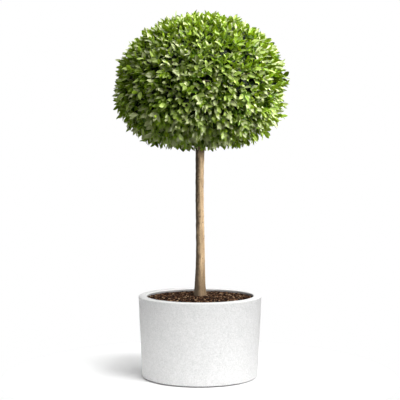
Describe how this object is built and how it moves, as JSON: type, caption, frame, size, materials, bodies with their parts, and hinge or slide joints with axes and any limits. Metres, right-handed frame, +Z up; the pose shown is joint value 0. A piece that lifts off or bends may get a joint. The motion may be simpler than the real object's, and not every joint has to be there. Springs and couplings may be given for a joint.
{
  "type": "standard topiary tree in a round planter",
  "caption": "Clipped ball of small glossy leaves on one clear stem, growing in compost in a round pale concrete planter.",
  "frame": {"origin": "middle of the planter's flat underside, on the ground", "axes": "+Z up along the stem; the planter and the clipped ball are round about Z, so +X and +Y are free choices"},
  "size_m": [0.7258, 0.7279, 1.4928],
  "materials": {
    "cast_concrete": "pale grey cast concrete, matt, finely pitted",
    "bark_compost": "dark brown composted bark with lighter chips, matt",
    "stem_bark": "grey-brown bark, finely cracked, matt",
    "foliage": "glossy yellow-green leaves with paler undersides"
  },
  "bodies": {
    "root": {"planter": "cast_concrete", "compost": "bark_compost", "trunk": "stem_bark", "clipped_head": "foliage"}
  },
  "joints": []
}
